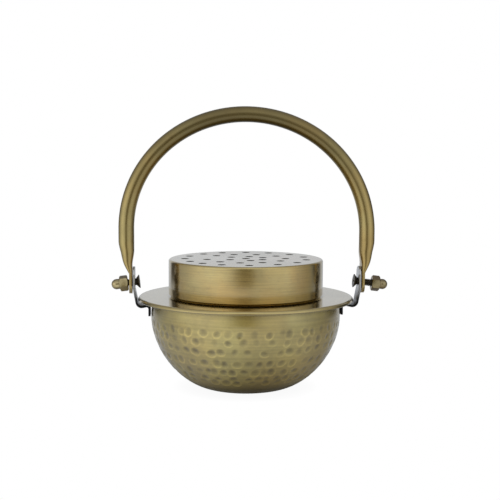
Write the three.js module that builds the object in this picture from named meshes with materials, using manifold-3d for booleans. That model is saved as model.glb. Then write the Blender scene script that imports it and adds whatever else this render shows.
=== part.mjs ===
import * as THREE from "three";
import { mergeVertices } from "three/addons/utils/BufferGeometryUtils.js";
import Module from "manifold-3d";

// A hand censer of sheet brass: a round bowl with a wide brim, a pierced lid that drops over the brim's
// neck, a loose fire pan inside, and a bail handle of bent tube that swings on a screw at each side.
// Millimetres, +Z up. The origin is the centre of the bowl's flat foot. The handle's pivots lie along X.

const wasm = await Module();
wasm.setup();

// Clearances
const SEAT_GAP = 0.3; // between pieces that rest on or against each other
const PIVOT_PLAY = 0.25; // between a handle tab and its bracket
const LID_PLAY = 0.55; // between the lid's skirt and the brim's neck
const FINGER_ROOM = 4.4; // between the fire pan's lip and the neck that it is lifted out through
const OVERRUN = 1; // how far every cutter runs past what it cuts

// Bowl
const BOWL_WALL = 0.8;
const FOOT_RADIUS = 17.8; // the flat that the bowl stands on
const MOUTH_RADIUS = 47.7; // outside of the wall, just under the flange
const FLARE_RADIUS = 1.2; // where the wall turns out into the flange
const BELLY_SHARE = 1.0926; // first handle of the wall's curve, of the mouth radius
const BELLY_HEIGHT_SHARE = 0.448; // and of the brim's height
const KEEL_SHARE = 1.787; // second handle, level with the foot, of the foot radius

// Brim
const BRIM_HEIGHT = 46.9; // top face above the foot
const BRIM_OVERHANG = 7.3; // beyond the bowl's mouth
const BRIM_SHEET = 0.7;
const BRIM_DROP = 2.3; // height of the edge that is turned down over the bowl's flange
const BRIM_EDGE_RADIUS = 1.2;
const NECK_RADIUS = 38.1; // outside of the collar that the lid drops over
const NECK_HEIGHT = 6; // above the brim's top face
const NECK_FILLET = 2.2; // outer bend at the collar's root, which the lid's rim rides on

// Lid
const LID_SHEET = 0.8;
const LID_HEIGHT = 17.95;
const LID_EDGE_RADIUS = 1.1;
const LID_TURN = -3.5; // degrees about Z, as the lid happens to sit
const SMOKE_HOLE_RADIUS = 2;
// Punched by hand, so each ring is uneven: degrees round the lid, and the ring's radius over the lid's.
const SMOKE_RINGS = [
  { radiusShare: 0, angles: [0] },
  { radiusShare: 0.25, angles: [28, 80, 139, 216, 284, 330] },
  { radiusShare: 0.515, angles: [2, 39, 74, 108, 139, 194, 231, 262, 294, 329] },
  {
    radiusShare: 0.79,
    angles: [16, 42, 67, 90, 114, 136, 160, 183, 207, 227, 248, 273, 300, 325, 351],
  },
];

// Fire pan
const PAN_SHEET = 0.8;
const PAN_HEIGHT = 22;
const PAN_TAPER = 4.5; // how much narrower the wall is at the floor, on the radius
const PAN_CORNER = 5; // outer bend between wall and floor, which rests on the bowl's wall
const PAN_LIP = 2.2; // how far the lip turns out from the wall
const PAN_LIP_BEND = 0.5; // inner bend between wall and lip

// Pivots
const PIVOT_RISE = 7.1; // above the brim's top face
const HANDLE_SHIFT = 0.75; // that the handle and its brackets sit to the right of the bowl's middle
const SCREW_RADIUS = 1.9;
const SCREW_HEAD_RADIUS = 3.45;
const SCREW_HEAD_RIM = 0.3; // straight edge of the countersunk head
const SCREW_HEAD_CONE = 1.55;
const SCREW_HEAD_STANDOFF = 0.55; // from the cone's end to the bracket
const SCREW_GRIP = 4.8; // how far a screw reaches into the nut that is turned fully home
const SCREW_TIP_CHAMFER = 0.45;
const DRIVE_WIDTH = 0.9; // arms of the cross recess
const DRIVE_LENGTH = 3.8;
const DRIVE_DEPTH = 0.9;
const SCREW_DROOP = 7; // degrees that the slack screws hang down outwards
const HOLE_SLACK = 0.4; // of the bracket's hole round the screw

// Cap nuts
const NUT_ACROSS_FLATS = 7;
const NUT_HEX_LENGTH = 4.1;
const NUT_DOME_RADIUS = 2.65;
const NUT_LENGTH = 8.4;
const NUT_CHAMFER = 0.45;
const SPARE_THREAD = { right: 3.4, left: 0 }; // bare thread beyond what the droop needs, under each nut

// Brackets
const STRAP_SHEET = 1.1;
const STRAP_WIDTH = 10;
const BRIM_CLEARANCE = 2.2; // from the brim's edge to the ear's inner face, on average
const EAR_TOP = 8; // above the pivot
const EAR_LEAN = 13; // degrees that the strap leans in towards the brim below its hole
const LEAN_RADIUS = 6; // of that bend, at the strap's middle line
const HOOK_SPACE = 2.3; // between the brim's edge and the strap that passes under it
const HOOK_RADIUS = 2.6;
const HOOK_RISE = 12; // degrees that the strap climbs towards the bowl
const SHOULDER_RADIUS = 1.5; // where it turns down onto the bowl
const WELD_TAB_DROP = 3.6; // straight length that is welded to the bowl

// Bail handle
const TUBE_RADIUS = 4;
const TUBE_WALL = 0.7;
const SEAM = 0.15; // left between the two walls of a flattened end
const LEG_STEP = 0.35; // from the bracket's inner face out to the leg's inner side
const LEG_HEIGHT = 26.5; // from the pivot to where the legs become the arch
const ARCH_RISE = 58.8;
const ARCH_LEAN = 0.9; // that the arch's top lies to the left of the middle between its legs
const CREASE_MARGIN = 0.4; // from the nut's reach to where the tab begins to open
const CRUSH_LENGTH = 16.2; // from there to where the tube is round
const CRUSH_EASE_SHARE = 1.6; // how quickly it opens at the crease
const LEAN_MARGIN = 0.5; // from the ear's top to where the leg leans in over it
const LEAN_LENGTH = 8;

// Facets
const ROUND_SIDES = 60;
const PAN_SIDES = 40;
const HOLE_SIDES = 14;
const SMALL_SIDES = 20;
const WALL_STEPS = 9;
const SEAT_STEPS = 240; // at which the bowl's wall is tried for the pan's seat
const BEND_STEPS = 3;
const TUBE_SIDES = 16;
const ARCH_STEPS = 24;
const CRUSH_STEPS = 7;

// Worked out from the sizes above
const BRIM_RADIUS = MOUTH_RADIUS + BRIM_OVERHANG;
const BOWL_FLANGE_TOP = BRIM_HEIGHT - BRIM_SHEET - SEAT_GAP;
const BOWL_FLANGE_RADIUS = BRIM_RADIUS - BRIM_SHEET - SEAT_GAP;
const NECK_BORE = NECK_RADIUS - BRIM_SHEET;
const LID_BORE = NECK_RADIUS + LID_PLAY;
const LID_RADIUS = LID_BORE + LID_SHEET;
const PAN_LIP_RADIUS = NECK_BORE - FINGER_ROOM;
const PAN_TOP_RADIUS = PAN_LIP_RADIUS - PAN_LIP;
const PAN_FLOOR_RADIUS = PAN_TOP_RADIUS - PAN_TAPER;
const LID_LIFT = NECK_FILLET - Math.sqrt(NECK_FILLET ** 2 - (NECK_FILLET - LID_PLAY) ** 2) + SEAT_GAP;
const PIVOT_HEIGHT = BRIM_HEIGHT + PIVOT_RISE;
const EAR_INSIDE = BRIM_RADIUS + BRIM_CLEARANCE;
const EAR_OUTSIDE = EAR_INSIDE + STRAP_SHEET;
const EAR_MIDDLE = EAR_INSIDE + STRAP_SHEET / 2;
const EAR_HOLE_RADIUS = SCREW_RADIUS + HOLE_SLACK;
const HOOK_BOTTOM = PIVOT_RISE + BRIM_DROP + HOOK_SPACE + STRAP_SHEET; // below the pivot
const TAB_INSIDE = EAR_OUTSIDE + PIVOT_PLAY;
const TAB_SHEET = 2 * TUBE_WALL + SEAM;
const TAB_OUTSIDE = TAB_INSIDE + TAB_SHEET;
const DROOP = THREE.MathUtils.degToRad(SCREW_DROOP);
const TAB_HOLE_RADIUS =
  SCREW_RADIUS / Math.cos(DROOP) + (TAB_OUTSIDE - EAR_MIDDLE) * Math.tan(DROOP) + SEAT_GAP;
const NUT_CORNER_RADIUS = NUT_ACROSS_FLATS / Math.sqrt(3);
const NUT_PLACE = TAB_OUTSIDE - EAR_MIDDLE + NUT_CORNER_RADIUS * Math.sin(DROOP) + SEAT_GAP;
const NUT_REACH = NUT_CORNER_RADIUS + NUT_PLACE * Math.sin(DROOP); // from the hinge's axis
const NUT_BORE_RADIUS = SCREW_RADIUS + SEAT_GAP;
const SCREW_HEAD_PLACE = STRAP_SHEET / 2 + SCREW_HEAD_STANDOFF + SCREW_HEAD_CONE + SCREW_HEAD_RIM;
const SCREW_LENGTH = SCREW_HEAD_PLACE + NUT_PLACE + SCREW_GRIP;
const CREASE_DISTANCE = NUT_REACH + CREASE_MARGIN; // from the pivot, as are the next three
const ROUND_DISTANCE = CREASE_DISTANCE + CRUSH_LENGTH;
const LEAN_START = EAR_TOP + LEAN_MARGIN;
const LEAN_END = LEAN_START + LEAN_LENGTH;
const ARCH_HALF_WIDTH = EAR_INSIDE + LEG_STEP + TUBE_RADIUS; // of the tube's middle line
const ARCH_SPRING = PIVOT_HEIGHT + LEG_HEIGHT;

// Booleans
function solidOf(geometry) {
  const bare = geometry.clone();
  bare.deleteAttribute("normal");
  bare.deleteAttribute("uv");
  const merged = mergeVertices(bare);
  return new wasm.Manifold(
    new wasm.Mesh({
      numProp: 3,
      vertProperties: new Float32Array(merged.attributes.position.array),
      triVerts: new Uint32Array(merged.index.array),
    }),
  );
}

function geometryOf(solid) {
  const mesh = solid.getMesh();
  const geometry = new THREE.BufferGeometry();
  geometry.setAttribute("position", new THREE.BufferAttribute(mesh.vertProperties, 3));
  geometry.setIndex(new THREE.BufferAttribute(mesh.triVerts, 1));
  geometry.computeVertexNormals();
  return geometry;
}

function cut(geometry, cutters) {
  let solid = solidOf(geometry);
  for (const cutter of cutters) {
    solid = solid.subtract(solidOf(cutter));
  }
  return geometryOf(solid);
}

// Shapes
function arc(centreX, centreY, radius, fromDegrees, toDegrees, steps = BEND_STEPS) {
  const curve = new THREE.EllipseCurve(
    centreX,
    centreY,
    radius,
    radius,
    THREE.MathUtils.degToRad(fromDegrees),
    THREE.MathUtils.degToRad(toDegrees),
    toDegrees < fromDegrees,
  );
  return curve.getPoints(steps);
}

function point(x, y) {
  return new THREE.Vector2(x, y);
}

// Turns a profile of (radius, height) points about Z.
function turned(profile, sides) {
  return new THREE.LatheGeometry(profile, sides).rotateX(Math.PI / 2);
}

// Turns a profile of (radius, distance) points about X, the axis that screws and nuts lie on.
function turnedAlongX(profile, sides) {
  return new THREE.LatheGeometry(profile, sides).rotateZ(-Math.PI / 2);
}

// A round cutter along X.
function crossCutter(radius, fromX, toX, sides) {
  return new THREE.CylinderGeometry(radius, radius, toX - fromX, sides)
    .rotateZ(Math.PI / 2)
    .translate((fromX + toX) / 2, 0, 0);
}

// Cuts the end of a flat strap round, about a centre at 0: what lies further along Z and outside the arc.
function roundEndCutter(halfWidth, fromX, toX) {
  const reach = halfWidth + 2 * OVERRUN;
  const outline = new THREE.Shape([
    point(reach, 0),
    point(reach, reach),
    point(-reach, reach),
    point(-reach, 0),
    ...arc(0, 0, halfWidth, 180, 0, HOLE_SIDES / 2),
  ]);
  return new THREE.ExtrudeGeometry(outline, { depth: toX - fromX, bevelEnabled: false })
    .rotateX(Math.PI / 2)
    .rotateZ(Math.PI / 2)
    .translate(fromX, 0, 0);
}

// Bowl: one spun shell with a flange round its mouth
function wallCurve() {
  return new THREE.CubicBezierCurve(
    point(FOOT_RADIUS, 0),
    point(FOOT_RADIUS * KEEL_SHARE, 0),
    point(MOUTH_RADIUS * BELLY_SHARE, BRIM_HEIGHT * BELLY_HEIGHT_SHARE),
    point(MOUTH_RADIUS, BOWL_FLANGE_TOP - BOWL_WALL - FLARE_RADIUS),
  );
}

function wallOutside() {
  return wallCurve().getPoints(WALL_STEPS);
}

function wallInside() {
  const curve = wallCurve();
  return wallOutside().map((place, step) => {
    const tangent = curve.getTangent(step / WALL_STEPS);
    return point(place.x - tangent.y * BOWL_WALL, place.y + tangent.x * BOWL_WALL);
  });
}

function bowlGeometry() {
  const flareCentre = point(MOUTH_RADIUS + FLARE_RADIUS, BOWL_FLANGE_TOP - BOWL_WALL - FLARE_RADIUS);
  return turned(
    [
      point(0, 0),
      ...wallOutside(),
      ...arc(flareCentre.x, flareCentre.y, FLARE_RADIUS, 180, 90).slice(1),
      point(BOWL_FLANGE_RADIUS, BOWL_FLANGE_TOP - BOWL_WALL),
      point(BOWL_FLANGE_RADIUS, BOWL_FLANGE_TOP),
      ...arc(flareCentre.x, flareCentre.y, FLARE_RADIUS + BOWL_WALL, 90, 180),
      ...wallInside().reverse(),
      point(0, BOWL_WALL),
    ],
    ROUND_SIDES,
  );
}

// Brim: a ring with its edge turned down over the bowl's flange and a collar turned up round the opening.
// Heights here are from its top face.
function brimGeometry() {
  const bendRadius = NECK_RADIUS + NECK_FILLET;
  const neckEdge = BRIM_SHEET / 2;
  const profile = [
    point(BRIM_RADIUS - BRIM_SHEET, -BRIM_SHEET),
    point(BRIM_RADIUS - BRIM_SHEET, -BRIM_DROP),
    point(BRIM_RADIUS, -BRIM_DROP),
    ...arc(BRIM_RADIUS - BRIM_EDGE_RADIUS, -BRIM_EDGE_RADIUS, BRIM_EDGE_RADIUS, 0, 90),
    ...arc(bendRadius, NECK_FILLET, NECK_FILLET, 270, 180),
    ...arc(NECK_RADIUS - neckEdge, NECK_HEIGHT - neckEdge, neckEdge, 0, 180),
    ...arc(bendRadius, NECK_FILLET, NECK_FILLET + BRIM_SHEET, 180, 270),
  ];
  profile.push(profile[0].clone());
  return turned(profile, ROUND_SIDES);
}

// Lid: a drawn cap, pierced in rings. Heights here are from its lower edge.
function lidGeometry() {
  const innerTop = LID_HEIGHT - LID_SHEET;
  const innerEdge = Math.max(LID_EDGE_RADIUS - LID_SHEET, LID_SHEET / 4);
  const cap = turned(
    [
      point(0, innerTop),
      ...arc(LID_BORE - innerEdge, innerTop - innerEdge, innerEdge, 90, 0, BEND_STEPS / 2),
      point(LID_BORE, 0),
      point(LID_RADIUS, 0),
      ...arc(LID_RADIUS - LID_EDGE_RADIUS, LID_HEIGHT - LID_EDGE_RADIUS, LID_EDGE_RADIUS, 0, 90),
      point(0, LID_HEIGHT),
    ],
    ROUND_SIDES,
  );
  const punches = SMOKE_RINGS.flatMap(({ radiusShare, angles }) =>
    angles.map((degrees) => {
      const angle = THREE.MathUtils.degToRad(degrees);
      const reach = LID_RADIUS * radiusShare;
      return new THREE.CylinderGeometry(
        SMOKE_HOLE_RADIUS,
        SMOKE_HOLE_RADIUS,
        LID_SHEET + 2 * OVERRUN,
        HOLE_SIDES,
      )
        .rotateX(Math.PI / 2)
        .translate(reach * Math.cos(angle), reach * Math.sin(angle), LID_HEIGHT - LID_SHEET / 2);
    }),
  );
  return cut(cap, punches);
}

// Fire pan: a drawn dish with a small lip to lift it by. It stands in the bowl on its rounded corner.
// Heights here are from the underside of its floor.
function panGeometry() {
  const underLip = PAN_HEIGHT - PAN_SHEET;
  const cornerCentre = point(PAN_FLOOR_RADIUS - PAN_CORNER, PAN_CORNER);
  const lipEdge = PAN_SHEET / 2;
  const bendCentre = point(PAN_TOP_RADIUS + PAN_LIP_BEND, underLip - PAN_LIP_BEND);
  return turned(
    [
      point(0, 0),
      ...arc(cornerCentre.x, cornerCentre.y, PAN_CORNER, 270, 360),
      ...arc(bendCentre.x, bendCentre.y, PAN_LIP_BEND, 180, 90, BEND_STEPS / 2),
      ...arc(PAN_LIP_RADIUS - lipEdge, underLip + lipEdge, lipEdge, 270, 450),
      ...arc(bendCentre.x, bendCentre.y, PAN_LIP_BEND + PAN_SHEET, 90, 180, BEND_STEPS / 2),
      ...arc(cornerCentre.x, cornerCentre.y, PAN_CORNER - PAN_SHEET, 360, 270),
      point(0, PAN_SHEET),
    ],
    PAN_SIDES,
  );
}

// The height at which the pan comes to rest, when its floor and rounded corner are let down into the bowl.
function panSeat() {
  const reach = PAN_CORNER + SEAT_GAP;
  const cornerCentre = PAN_FLOOR_RADIUS - PAN_CORNER;
  const inside = new THREE.Path().setFromPoints([point(0, BOWL_WALL), ...wallInside()]);
  const rests = inside
    .getSpacedPoints(SEAT_STEPS)
    .map((place) => point(Math.max(place.x - cornerCentre, 0), place.y))
    .filter((place) => place.x < reach)
    .map((place) => place.y + Math.sqrt(reach ** 2 - place.x ** 2) - PAN_CORNER);
  return Math.max(...rests);
}

// Bracket: a strap bent in one plane. Its ear stands beside the handle's tab, its hook passes under the
// brim, and its other end is welded flat to the bowl. Drawn as its middle line, then given its thickness.
// Heights here are from the pivot, distances from the handle's middle, and headings are the way the strap
// runs, in degrees from +X. The shift is how far the handle's middle lies from the bowl's to that side.
function strapLine(shift) {
  const bowlSide = wallOutside().reduce((widest, place) => Math.max(widest, place.x), 0);
  const weldMiddle = bowlSide + SEAT_GAP + STRAP_SHEET / 2 - shift;
  const down = 270;
  const leaning = down - EAR_LEAN;
  const climbing = 180 - HOOK_RISE;

  const leanCentre = point(EAR_MIDDLE - LEAN_RADIUS, -EAR_HOLE_RADIUS);
  const lean = bend(leanCentre, LEAN_RADIUS, down, leaning);
  const leanEnd = lean.at(-1).place;

  const fall = heading(leaning);
  const hookCentreHeight = STRAP_SHEET / 2 + HOOK_RADIUS - HOOK_BOTTOM;
  const hookStartHeight = hookCentreHeight + HOOK_RADIUS * -fall.x;
  const hookStart = leanEnd.clone().addScaledVector(fall, (hookStartHeight - leanEnd.y) / fall.y);
  const hookCentre = point(hookStart.x + HOOK_RADIUS * fall.y, hookCentreHeight);
  const hook = bend(hookCentre, HOOK_RADIUS, leaning, climbing);
  const hookEnd = hook.at(-1).place;

  const climb = heading(climbing);
  const shoulderRun = SHOULDER_RADIUS * (1 + climb.y);
  const climbEnd = hookEnd
    .clone()
    .addScaledVector(climb, (weldMiddle + shoulderRun - hookEnd.x) / climb.x);
  const shoulderCentre = point(weldMiddle + SHOULDER_RADIUS, climbEnd.y + SHOULDER_RADIUS * climb.x);
  const shoulder = bend(shoulderCentre, SHOULDER_RADIUS, climbing, down);

  return [
    { place: point(EAR_MIDDLE, EAR_TOP), heading: down },
    ...lean,
    ...hook,
    ...shoulder,
    { place: point(weldMiddle, shoulderCentre.y - WELD_TAB_DROP), heading: down },
  ];
}

// The direction of a heading, as a unit vector.
function heading(degrees) {
  const angle = THREE.MathUtils.degToRad(degrees);
  return point(Math.cos(angle), Math.sin(angle));
}

// The points of a bend round a centre, from one heading to another, with the strap's heading at each.
function bend(centre, radius, fromHeading, toHeading) {
  const steps = 2 * BEND_STEPS;
  const side = toHeading > fromHeading ? -90 : 90;
  const places = arc(centre.x, centre.y, radius, fromHeading + side, toHeading + side, steps);
  return places.map((place, step) => ({
    place,
    heading: THREE.MathUtils.lerp(fromHeading, toHeading, step / steps),
  }));
}

function bracketGeometry(shift) {
  const line = strapLine(shift);
  const side = (offset) =>
    line.map((station) => {
      const along = heading(station.heading);
      return point(station.place.x + offset * along.y, station.place.y - offset * along.x);
    });
  const outline = new THREE.Shape([...side(-STRAP_SHEET / 2), ...side(STRAP_SHEET / 2).reverse()]);
  const strap = new THREE.ExtrudeGeometry(outline, { depth: STRAP_WIDTH, bevelEnabled: false })
    .rotateX(Math.PI / 2)
    .translate(0, STRAP_WIDTH / 2, 0);
  const fromX = EAR_INSIDE - OVERRUN;
  const toX = EAR_OUTSIDE + OVERRUN;
  const halfWidth = STRAP_WIDTH / 2;
  return cut(strap, [
    crossCutter(EAR_HOLE_RADIUS, fromX, toX, SMALL_SIDES),
    roundEndCutter(halfWidth, fromX, toX).translate(0, 0, EAR_TOP - halfWidth),
  ]);
}

// Screw: countersunk, with a cross recess. Lies along X with the head's face at 0.
function screwGeometry() {
  const screw = turnedAlongX(
    [
      point(0, 0),
      point(SCREW_HEAD_RADIUS, 0),
      point(SCREW_HEAD_RADIUS, SCREW_HEAD_RIM),
      point(SCREW_RADIUS, SCREW_HEAD_RIM + SCREW_HEAD_CONE),
      point(SCREW_RADIUS, SCREW_LENGTH - SCREW_TIP_CHAMFER),
      point(SCREW_RADIUS - SCREW_TIP_CHAMFER, SCREW_LENGTH),
      point(0, SCREW_LENGTH),
    ],
    SMALL_SIDES,
  );
  const arms = [0, Math.PI / 2].map((turn) =>
    new THREE.BoxGeometry(2 * DRIVE_DEPTH, DRIVE_LENGTH, DRIVE_WIDTH).rotateX(turn),
  );
  return cut(screw, arms);
}

// Cap nut: a chamfered hexagon with a dome, bored from its open face. Lies along X with the open face at 0.
function nutGeometry() {
  const hexagon = new THREE.CylinderGeometry(NUT_CORNER_RADIUS, NUT_CORNER_RADIUS, NUT_HEX_LENGTH, 6)
    .rotateZ(-Math.PI / 2)
    .translate(NUT_HEX_LENGTH / 2, 0, 0);
  const inscribed = NUT_ACROSS_FLATS / 2;
  const chamferReach = NUT_CORNER_RADIUS + OVERRUN;
  const chamferRun = (NUT_CHAMFER * (chamferReach - inscribed)) / (NUT_CORNER_RADIUS - inscribed);
  const chamfer = turnedAlongX(
    [
      point(0, 0),
      point(inscribed, 0),
      point(chamferReach, chamferRun),
      point(chamferReach, NUT_HEX_LENGTH - chamferRun),
      point(inscribed, NUT_HEX_LENGTH),
      point(0, NUT_HEX_LENGTH),
    ],
    SMALL_SIDES,
  );
  const dome = turnedAlongX(
    [
      point(0, NUT_HEX_LENGTH / 2),
      point(NUT_DOME_RADIUS, NUT_HEX_LENGTH / 2),
      ...arc(0, NUT_LENGTH - NUT_DOME_RADIUS, NUT_DOME_RADIUS, 0, 90, BEND_STEPS),
    ],
    SMALL_SIDES,
  );
  const boreDepth = SCREW_GRIP + SEAT_GAP;
  const bore = turnedAlongX(
    [
      point(0, -OVERRUN),
      point(NUT_BORE_RADIUS, -OVERRUN),
      point(NUT_BORE_RADIUS, boreDepth),
      point(0, boreDepth + NUT_BORE_RADIUS / 2),
    ],
    SMALL_SIDES,
  );
  const body = solidOf(hexagon).intersect(solidOf(chamfer)).add(solidOf(dome));
  return geometryOf(body.subtract(solidOf(bore)));
}

// Bail handle: a tube whose ends are pressed flat. Its section keeps its girth, so it widens as it thins.
function tubeSection(thickness) {
  const girth = 2 * Math.PI * (TUBE_RADIUS - TUBE_WALL / 2);
  const halfFlat = (girth - Math.PI * (thickness - TUBE_WALL)) / 4;
  return (inset) =>
    Array.from({ length: TUBE_SIDES }, (_, side) => {
      const angle = (2 * Math.PI * side) / TUBE_SIDES;
      const across = Math.cos(angle) * (thickness / 2 - inset);
      const flat = side % (TUBE_SIDES / 2) === 0 ? 0 : Math.sign(Math.sin(angle)) * halfFlat;
      return point(across, flat + Math.sin(angle) * (thickness / 2 - inset));
    });
}

function tabHalfWidth() {
  const widest = tubeSection(TAB_SHEET)(0).map((corner) => corner.y);
  return Math.max(...widest);
}

// Stations up the right leg: height above the pivot, the tube's middle and its thickness across.
function legStations() {
  const legInside = ARCH_HALF_WIDTH - TUBE_RADIUS;
  const tip = -tabHalfWidth() - OVERRUN;
  const spring = ARCH_SPRING - PIVOT_HEIGHT;
  const opening = Array.from(
    { length: CRUSH_STEPS + 1 },
    (_, step) => CREASE_DISTANCE + ((ROUND_DISTANCE - CREASE_DISTANCE) * step) / CRUSH_STEPS,
  );
  return [tip, ...opening, spring].map((height) => {
    const opened = THREE.MathUtils.clamp(
      (height - CREASE_DISTANCE) / (ROUND_DISTANCE - CREASE_DISTANCE),
      0,
      1,
    );
    const thickness = TAB_SHEET + (2 * TUBE_RADIUS - TAB_SHEET) * (1 - (1 - opened) ** CRUSH_EASE_SHARE);
    const lean = THREE.MathUtils.smoothstep(height, LEAN_START, LEAN_END);
    const inside = THREE.MathUtils.lerp(TAB_INSIDE, legInside, lean);
    const middle = point(inside + thickness / 2, PIVOT_HEIGHT + height);
    return { middle, outward: point(1, 0), thickness };
  });
}

function handleStations() {
  const right = legStations();
  const left = right
    .map(({ middle, thickness }) => ({
      middle: point(-middle.x, middle.y),
      outward: point(-1, 0),
      thickness,
    }))
    .reverse();
  const arch = Array.from({ length: ARCH_STEPS - 1 }, (_, step) => {
    const angle = (Math.PI * (step + 1)) / ARCH_STEPS;
    const across = Math.cos(angle);
    const up = Math.sin(angle);
    return {
      middle: point(ARCH_HALF_WIDTH * across - ARCH_LEAN * up, ARCH_SPRING + ARCH_RISE * up),
      outward: point(ARCH_RISE * across, ARCH_HALF_WIDTH * up + ARCH_LEAN * across).normalize(),
      thickness: 2 * TUBE_RADIUS,
    };
  });
  return [...right, ...arch, ...left];
}

// Skins a run of sections inside and out, and closes the wall at both open ends.
function pipe(stations) {
  const places = [];
  for (const inset of [0, TUBE_WALL]) {
    for (const { middle, outward, thickness } of stations) {
      for (const corner of tubeSection(thickness)(inset)) {
        places.push(middle.x + outward.x * corner.x, corner.y, middle.y + outward.y * corner.x);
      }
    }
  }
  const faces = [];
  const at = (skin, ring, side) => (skin * stations.length + ring) * TUBE_SIDES + (side % TUBE_SIDES);
  const quad = (a, b, c, d) => faces.push(a, b, c, a, c, d);
  for (let side = 0; side < TUBE_SIDES; side += 1) {
    for (let ring = 0; ring + 1 < stations.length; ring += 1) {
      quad(at(0, ring, side), at(0, ring, side + 1), at(0, ring + 1, side + 1), at(0, ring + 1, side));
      quad(at(1, ring, side), at(1, ring + 1, side), at(1, ring + 1, side + 1), at(1, ring, side + 1));
    }
    const last = stations.length - 1;
    quad(at(0, 0, side), at(1, 0, side), at(1, 0, side + 1), at(0, 0, side + 1));
    quad(at(0, last, side), at(0, last, side + 1), at(1, last, side + 1), at(1, last, side));
  }
  const geometry = new THREE.BufferGeometry();
  geometry.setAttribute("position", new THREE.Float32BufferAttribute(places, 3));
  geometry.setIndex(faces);
  return geometry;
}

function handleGeometry() {
  const fromX = TAB_INSIDE - OVERRUN;
  const toX = TAB_OUTSIDE + OVERRUN;
  const halfWidth = tabHalfWidth();
  const cutters = [0, Math.PI].flatMap((turn) => [
    crossCutter(TAB_HOLE_RADIUS, fromX, toX, SMALL_SIDES).rotateZ(turn).translate(0, 0, PIVOT_HEIGHT),
    roundEndCutter(halfWidth, fromX, toX)
      .rotateX(Math.PI)
      .rotateZ(turn)
      .translate(0, 0, PIVOT_HEIGHT),
  ]);
  return cut(pipe(handleStations()), cutters);
}

// Materials
const hammeredBrass = new THREE.MeshStandardMaterial({ color: "#96896a", roughness: 0.35, metalness: 1 });
const brushedBrass = new THREE.MeshStandardMaterial({ color: "#c0b48c", roughness: 0.3, metalness: 1 });
const lidBrass = new THREE.MeshStandardMaterial({ color: "#b5a675", roughness: 0.28, metalness: 1 });
const panBrass = new THREE.MeshStandardMaterial({ color: "#a08c5c", roughness: 0.5, metalness: 1 });
const tubeBrass = new THREE.MeshStandardMaterial({ color: "#a8945a", roughness: 0.25, metalness: 1 });
const strapSteel = new THREE.MeshStandardMaterial({ color: "#b4b2aa", roughness: 0.35, metalness: 1 });
const screwSteel = new THREE.MeshStandardMaterial({ color: "#8c8a84", roughness: 0.4, metalness: 1 });
const nutBrass = new THREE.MeshStandardMaterial({ color: "#b08a4e", roughness: 0.22, metalness: 1 });

function named(name, geometry, material) {
  const mesh = new THREE.Mesh(geometry, material);
  mesh.name = name;
  return mesh;
}

// Assembly
const censer = new THREE.Group();

censer.add(named("bowl", bowlGeometry(), hammeredBrass));

const brim = named("brim_plate", brimGeometry(), brushedBrass);
brim.position.z = BRIM_HEIGHT;
censer.add(brim);

const lid = named("lid", lidGeometry(), lidBrass);
lid.position.z = BRIM_HEIGHT + LID_LIFT;
lid.rotation.z = THREE.MathUtils.degToRad(LID_TURN);
censer.add(lid);

const pan = named("charcoal_pan", panGeometry(), panBrass);
pan.position.z = panSeat();
censer.add(pan);

const handle = named("bail_handle", handleGeometry(), tubeBrass);
handle.position.x = HANDLE_SHIFT;
censer.add(handle);

// Each side's pieces share one group, turned half round for the left.
const screw = screwGeometry();
const nut = nutGeometry();
for (const [side, turn, shift] of [
  ["right", 0, HANDLE_SHIFT],
  ["left", Math.PI, -HANDLE_SHIFT],
]) {
  const pivot = new THREE.Group();
  pivot.position.set(HANDLE_SHIFT, 0, PIVOT_HEIGHT);
  pivot.rotation.z = turn;
  pivot.add(named(`bracket_${side}`, bracketGeometry(shift), strapSteel));

  // The screw hangs slack in the bracket's hole, and takes its nut with it.
  const slack = new THREE.Group();
  slack.position.x = EAR_MIDDLE;
  slack.rotation.y = DROOP;
  const screwMesh = named(`pivot_screw_${side}`, screw, screwSteel);
  screwMesh.position.x = -SCREW_HEAD_PLACE;
  const nutMesh = named(`cap_nut_${side}`, nut, nutBrass);
  nutMesh.position.x = NUT_PLACE + SPARE_THREAD[side];
  slack.add(screwMesh, nutMesh);
  pivot.add(slack);
  censer.add(pivot);
}

export default censer;
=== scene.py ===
"""Looks of a brass hand censer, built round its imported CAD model.

Shapes are written in millimetres, in the model's own frame, and turned into metres when a mesh is made.
"""

import math
import random

import bmesh
import bpy
import numpy as np
from mathutils import Matrix, Vector
from mathutils.geometry import delaunay_2d_cdt


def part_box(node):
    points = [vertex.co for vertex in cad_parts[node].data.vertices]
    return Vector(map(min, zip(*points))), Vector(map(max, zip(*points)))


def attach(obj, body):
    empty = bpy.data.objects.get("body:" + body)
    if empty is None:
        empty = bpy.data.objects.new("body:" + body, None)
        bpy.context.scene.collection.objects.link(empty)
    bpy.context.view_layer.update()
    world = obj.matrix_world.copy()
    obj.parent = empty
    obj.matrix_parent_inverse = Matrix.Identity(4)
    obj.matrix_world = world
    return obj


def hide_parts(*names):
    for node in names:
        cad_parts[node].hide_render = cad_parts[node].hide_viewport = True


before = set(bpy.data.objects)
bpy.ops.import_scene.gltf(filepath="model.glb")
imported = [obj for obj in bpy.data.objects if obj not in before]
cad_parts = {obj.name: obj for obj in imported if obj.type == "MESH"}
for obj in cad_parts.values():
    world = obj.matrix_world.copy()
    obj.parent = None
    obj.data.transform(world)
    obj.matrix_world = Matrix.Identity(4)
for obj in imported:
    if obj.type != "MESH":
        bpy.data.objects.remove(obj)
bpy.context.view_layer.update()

MM = 0.001
SEED = 7


def box_mm(node):
    """Lowest and highest corner of a CAD node, in millimetres."""
    low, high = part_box(node)
    return np.array(low) / MM, np.array(high) / MM


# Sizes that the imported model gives
BRIM_RADIUS = round(box_mm("brim_plate")[1][0], 1)
BRIM_LOW = box_mm("brim_plate")[0][2]
LID_LOW = box_mm("lid")[0][2]
LID_TOP = box_mm("lid")[1][2]
PAN_LOW = box_mm("charcoal_pan")[0][2]

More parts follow.
